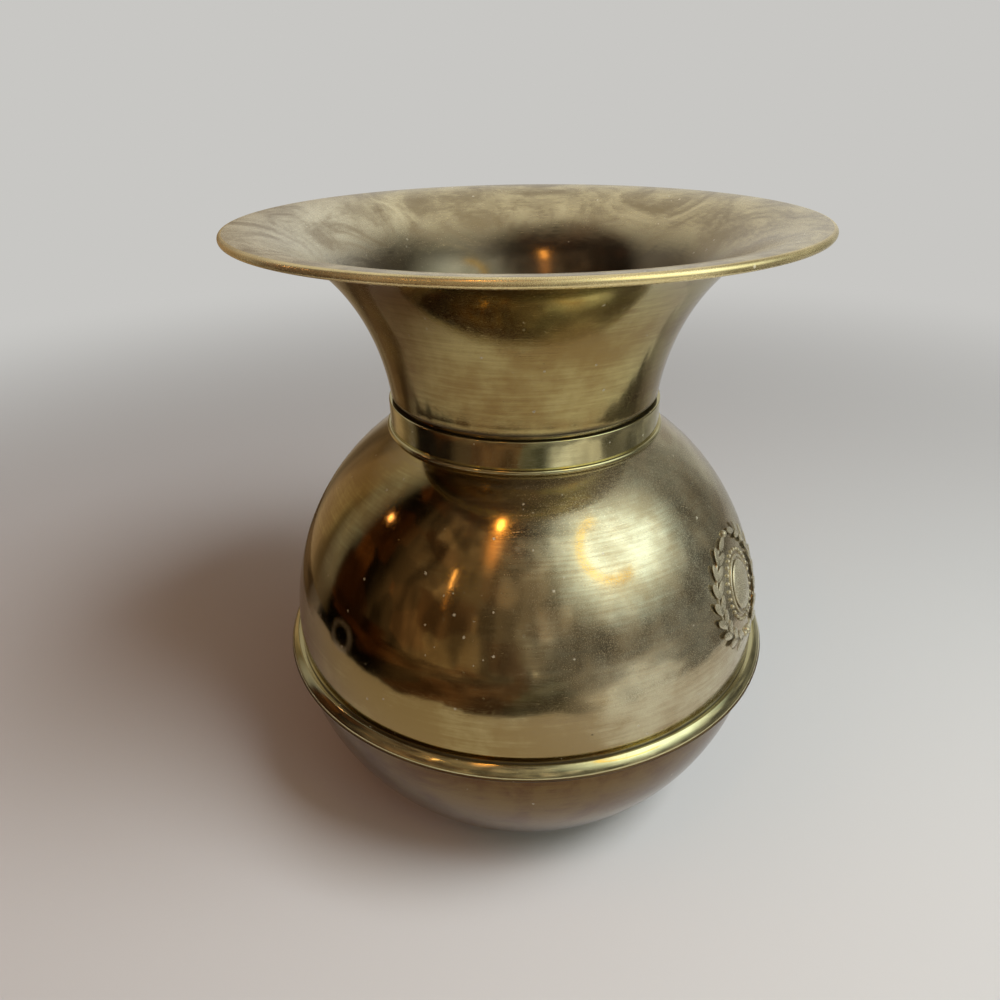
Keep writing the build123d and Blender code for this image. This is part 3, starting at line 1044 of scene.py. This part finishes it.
# %% [markdown]
# ## Soft box and lamps
# A large soft box at the front right gives the dome its bright side. Here it is one card that glows most at
# its middle, with a ring lamp in it that is open on one side and draws a golden curve on the dome. A narrow
# card makes a halo round the upper lamp. The lamps named for the floor light it and cast the shadow, and
# the metal doesn't show them. The others are small and warm, and the metal shows them as glints.

# %% Helpers for cards and lamps
AIM = Vector((0, 0, 0.13))


def towards(azimuth, rise):
    """The direction from the spittoon at so many degrees from the front and above the level."""
    turn, lift = math.radians(azimuth), math.radians(rise)
    return Vector((math.sin(turn) * math.cos(lift), -math.cos(turn) * math.cos(lift), math.sin(lift)))


def hang_card(name, azimuth, rise, size):
    """A flat card a metre from the spittoon, which faces it and shows only as a reflection, and its nodes."""
    direction = towards(azimuth, rise)
    bpy.ops.object.select_all(action="DESELECT")
    bpy.ops.mesh.primitive_grid_add(x_subdivisions=2, y_subdivisions=2, size=1.0)
    card = bpy.context.object
    card.name = name
    card.matrix_world = (
        Matrix.Translation(AIM + direction)
        @ direction.to_track_quat("Z", "Y").to_matrix().to_4x4()
        @ Matrix.Diagonal((*size, 1, 1))
    )
    card.visible_camera = card.visible_shadow = False
    material, tree, shader = new_material(name)
    tree.nodes.remove(shader)
    card.data.materials.append(material)
    print(name, "hangs at", azimuth, "degrees,", rise, "degrees up")
    return card, tree


def shine_through(tree, colour, strength):
    """Lets a card add its light to what lies behind it."""
    shine = add(tree, "Emission", {"Color": colour, "Strength": strength})
    clear = add(tree, "BsdfTransparent")
    mixed = add(tree, "AddShader", {0: shine, 1: clear})
    tree.links.new(mixed, tree.nodes["Material Output"].inputs["Surface"])


# %% Hang the soft box
SOFT_AZIMUTH, SOFT_RISE, SOFT_SIZE = 59, 36, (2.0, 1.5)
SOFT_TINT, SOFT_GLOW, CORE_GLOW = "#E4F5F4", 1.15, 0.8

diffuser, tree = hang_card("diffuser", SOFT_AZIMUTH, SOFT_RISE, SOFT_SIZE)
place = add(tree, "TexCoord", out="Object")
from_middle = add(tree, "VectorMath", {0: place}, out="Value", operation="LENGTH")
fall = add(
    tree,
    "MapRange",
    {"Value": from_middle, "From Min": 0.5, "From Max": 0.1},
    interpolation_type="SMOOTHERSTEP",
)
core = add(
    tree,
    "MapRange",
    {"Value": from_middle, "From Min": 0.32, "From Max": 0.08},
    interpolation_type="SMOOTHERSTEP",
)
glow = add(tree, "Math", {0: fall, 1: SOFT_GLOW}, operation="MULTIPLY")
bright = add(tree, "Math", {0: core, 1: CORE_GLOW, 2: glow}, operation="MULTIPLY_ADD")

# %% Put the open ring lamp in it
RING_AZIMUTH, RING_RISE, RING_RADIUS, RING_HALF_WIDTH = 52.3, 40.0, 0.24, 0.05
RING_TINT, RING_GLOW = "#FFDA68", 1.75

direction, ring_aim = towards(SOFT_AZIMUTH, SOFT_RISE), towards(RING_AZIMUTH, RING_RISE)
ring_middle = diffuser.matrix_world.inverted() @ (AIM + ring_aim / ring_aim.dot(direction))
ring_middle = Vector((ring_middle.x * SOFT_SIZE[0], ring_middle.y * SOFT_SIZE[1], 0))
in_metres = add(tree, "VectorMath", {0: place, 1: (*SOFT_SIZE, 1)}, operation="MULTIPLY")
from_ring = add(tree, "VectorMath", {0: in_metres, 1: ring_middle}, out="Value", operation="DISTANCE")
tube = add(
    tree,
    "MapRange",
    {
        "Value": far_from(tree, from_ring, RING_RADIUS),
        "From Min": RING_HALF_WIDTH,
        "From Max": 0.5 * RING_HALF_WIDTH,
    },
    interpolation_type="SMOOTHSTEP",
)
across = add(tree, "SeparateXYZ", {0: in_metres}, out="X")
bent = add(
    tree,
    "MapRange",
    {
        "Value": across,
        "From Min": ring_middle.x + 0.4 * RING_RADIUS,
        "From Max": ring_middle.x + 0.2 * RING_RADIUS,
    },
)
tube = add(tree, "Math", {0: tube, 1: bent}, operation="MULTIPLY")
lit = add(tree, "Mix", {0: tube, 2: bright, 3: RING_GLOW})
tint = add(tree, "Mix", {0: tube, 6: linear(SOFT_TINT), 7: linear(RING_TINT)}, out=2, data_type="RGBA")
shine_through(tree, tint, lit)
print("ring lamp at", [round(value, 3) for value in ring_middle], "m on the card")

# %% Hang a soft halo round the upper lamp
HALO_AZIMUTH, HALO_RISE, HALO_SIZE, HALO_TINT, HALO_GLOW = -20, 51, (0.17, 0.62), "#FFA84E", 1.7

halo, tree = hang_card("halo_above", HALO_AZIMUTH, HALO_RISE, HALO_SIZE)
halo.visible_diffuse = False
place = add(tree, "TexCoord", out="Object")
from_middle = add(tree, "VectorMath", {0: place}, out="Value", operation="LENGTH")
fall = add(
    tree,
    "MapRange",
    {"Value": from_middle, "From Min": 0.5, "From Max": 0.0, "To Max": HALO_GLOW},
    interpolation_type="SMOOTHSTEP",
)
shine_through(tree, linear(HALO_TINT), fall)

# %% Set the lamps
LAMPS = (
    # name, azimuth from the front, height angle, distance m, width m, height m, watts, colour
    ("floor_light", 56, 55, 1.1, 0.5, 0.4, 9.7, "#FBFCFF"),
    ("floor_warm", -64, 42, 1.1, 0.6, 0.4, 1.0, "#FF9050"),
    ("floor_glow", -10, 80, 1.1, 0.8, 0.4, 0.8, "#FFCB8C"),
    ("lamp_above", -20, 60, 1.1, 0.045, 0.1, 0.22, "#FFB458"),
    ("lamp_left", -38, 31, 1.1, 0.014, 0.16, 0.06, "#FFC885"),
    ("lamp_left_glow", -38, 26, 1.1, 0.014, 0.34, 0.02, "#FFB060"),
    ("lamp_far_left", -90, 31, 1.1, 0.045, 0.05, 0.08, "#FFBE88"),
)
for name, azimuth, rise, distance_m, width, tall, watts, colour in LAMPS:
    direction = towards(azimuth, rise)
    bpy.ops.object.light_add(type="AREA", location=AIM + direction * distance_m)
    lamp = bpy.context.object
    lamp.name = name
    lamp.rotation_euler = direction.to_track_quat("Z", "Y").to_euler()
    lamp.data.shape = "RECTANGLE"
    lamp.data.size, lamp.data.size_y = width, tall
    lamp.data.energy = watts
    lamp.data.color = linear(colour)[:3]
    lamp.visible_camera = False
    lamp.visible_glossy = not name.startswith("floor")
    print(name, "gives", watts, "W")

# %% [markdown]
# ## Look
# The picture uses plain sRGB.

# %% Set the look
bpy.context.scene.view_settings.view_transform = "Standard"
